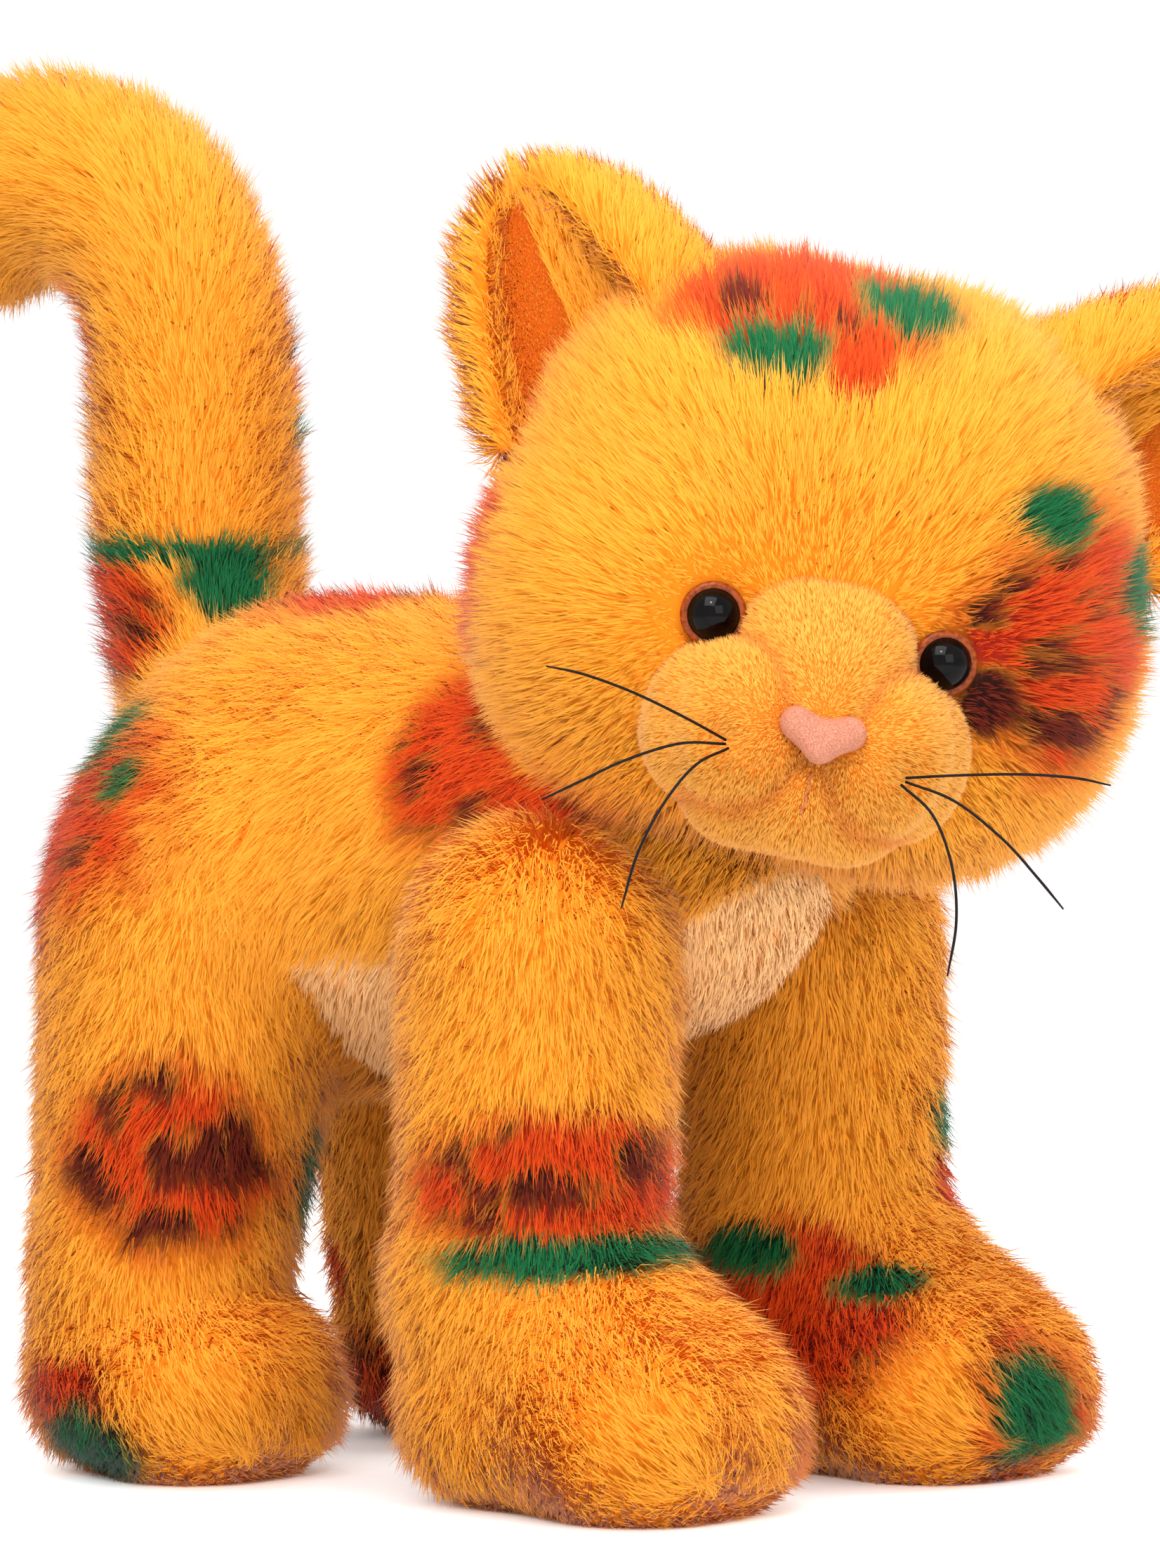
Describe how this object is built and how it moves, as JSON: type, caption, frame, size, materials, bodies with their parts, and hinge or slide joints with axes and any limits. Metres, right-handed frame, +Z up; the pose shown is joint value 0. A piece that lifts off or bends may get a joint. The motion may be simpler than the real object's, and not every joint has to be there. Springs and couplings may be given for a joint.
{
  "type": "plush cat",
  "caption": "Standing stuffed toy cat with its head turned to one side, cupped ears, glossy dome eyes, thread whiskers and an upright curling tail.",
  "frame": {"origin": "middle of the box around the cat, on the surface that it stands on", "axes": "+Z up, -Y the way the body faces, +X the cat's own left"},
  "size_m": [0.2401, 0.4524, 0.4028],
  "materials": {
    "gold_pile": "long soft pile, gold with dyed orange, brown and green patches",
    "cream_pile": "short soft pile, cream",
    "muzzle_plush": "short dense plush, pale gold",
    "sole_plush": "short dense plush, peach",
    "ear_plush": "short dense plush, orange",
    "nose_cloth": "shimmering woven cloth, pinkish brown",
    "mouth_thread": "embroidery thread, brown",
    "eye_plastic": "polished",
    "washer_plastic": "moulded",
    "whisker_filament": "waxed black filament",
    "stuffing": "loose polyester fibre"
  },
  "bodies": {
    "torso": {"torso_side_left": "gold_pile", "torso_side_right": "gold_pile", "belly_panel": "cream_pile", "torso_filling": "stuffing", "hind_sole_left": "sole_plush", "hind_sole_right": "sole_plush"},
    "neck": {"neck_filling": "stuffing"},
    "head": {"head_side_left": "gold_pile", "head_side_right": "gold_pile", "head_gusset": "gold_pile", "head_filling": "stuffing", "muzzle_bridge": "muzzle_plush", "muzzle_cheek_left": "muzzle_plush", "muzzle_cheek_right": "muzzle_plush", "muzzle_chin": "muzzle_plush", "nose": "nose_cloth", "mouth_stitching": "mouth_thread", "eye_left": "eye_plastic", "eye_right": "eye_plastic", "eye_washer_left": "washer_plastic", "eye_washer_right": "washer_plastic", "whisker_upper_left": "whisker_filament", "whisker_middle_left": "whisker_filament", "whisker_lower_left": "whisker_filament", "whisker_upper_right": "whisker_filament", "whisker_middle_right": "whisker_filament", "whisker_lower_right": "whisker_filament"},
    "ear_left": {"ear_outer_left": "gold_pile", "ear_lining_left": "ear_plush"},
    "ear_right": {"ear_outer_right": "gold_pile", "ear_lining_right": "ear_plush"},
    "front_leg_left": {"front_leg_outer_left": "gold_pile", "front_leg_inner_left": "cream_pile", "front_sole_left": "sole_plush", "front_leg_filling_left": "stuffing"},
    "front_leg_right": {"front_leg_outer_right": "gold_pile", "front_leg_inner_right": "cream_pile", "front_sole_right": "sole_plush", "front_leg_filling_right": "stuffing"},
    "tail": {"tail_panel_left": "gold_pile", "tail_panel_right": "gold_pile", "tail_filling": "stuffing"}
  },
  "joints": [
    {"name": "neck_turn", "type": "hinge", "parent": "torso", "child": "neck", "pos_m": [0.0156, -0.0592, 0.206], "axis": [0, 0, 1], "range_deg": [-15, 15], "stiffness_Nm_per_rad": 6},
    {"name": "neck_nod", "type": "hinge", "parent": "neck", "child": "head", "pos_m": [0.0156, -0.0592, 0.206], "axis": [0.7071, -0.7071, 0], "range_deg": [-8, 8], "stiffness_Nm_per_rad": 8},
    {"name": "ear_left_fold", "type": "hinge", "parent": "head", "child": "ear_left", "pos_m": [0.06774, -0.15616, 0.28404], "axis": [0.4364, -0.3951, -0.8084], "range_deg": [-12, 12], "stiffness_Nm_per_rad": 0.08},
    {"name": "ear_right_fold", "type": "hinge", "parent": "head", "child": "ear_right", "pos_m": [-0.02356, -0.06486, 0.31148], "axis": [0.5916, -0.6329, 0.4994], "range_deg": [-12, 12], "stiffness_Nm_per_rad": 0.08},
    {"name": "front_leg_left_swing", "type": "hinge", "parent": "torso", "child": "front_leg_left", "pos_m": [0.0766, -0.0572, 0.154], "axis": [1, 0, 0], "range_deg": [-15, 15], "stiffness_Nm_per_rad": 8},
    {"name": "front_leg_right_swing", "type": "hinge", "parent": "torso", "child": "front_leg_right", "pos_m": [-0.0454, -0.0572, 0.154], "axis": [1, 0, 0], "range_deg": [-15, 15], "stiffness_Nm_per_rad": 8},
    {"name": "tail_sway", "type": "hinge", "parent": "torso", "child": "tail", "pos_m": [0.0156, 0.1008, 0.201], "axis": [0, 1, 0], "range_deg": [-20, 20], "stiffness_Nm_per_rad": 2}
  ]
}
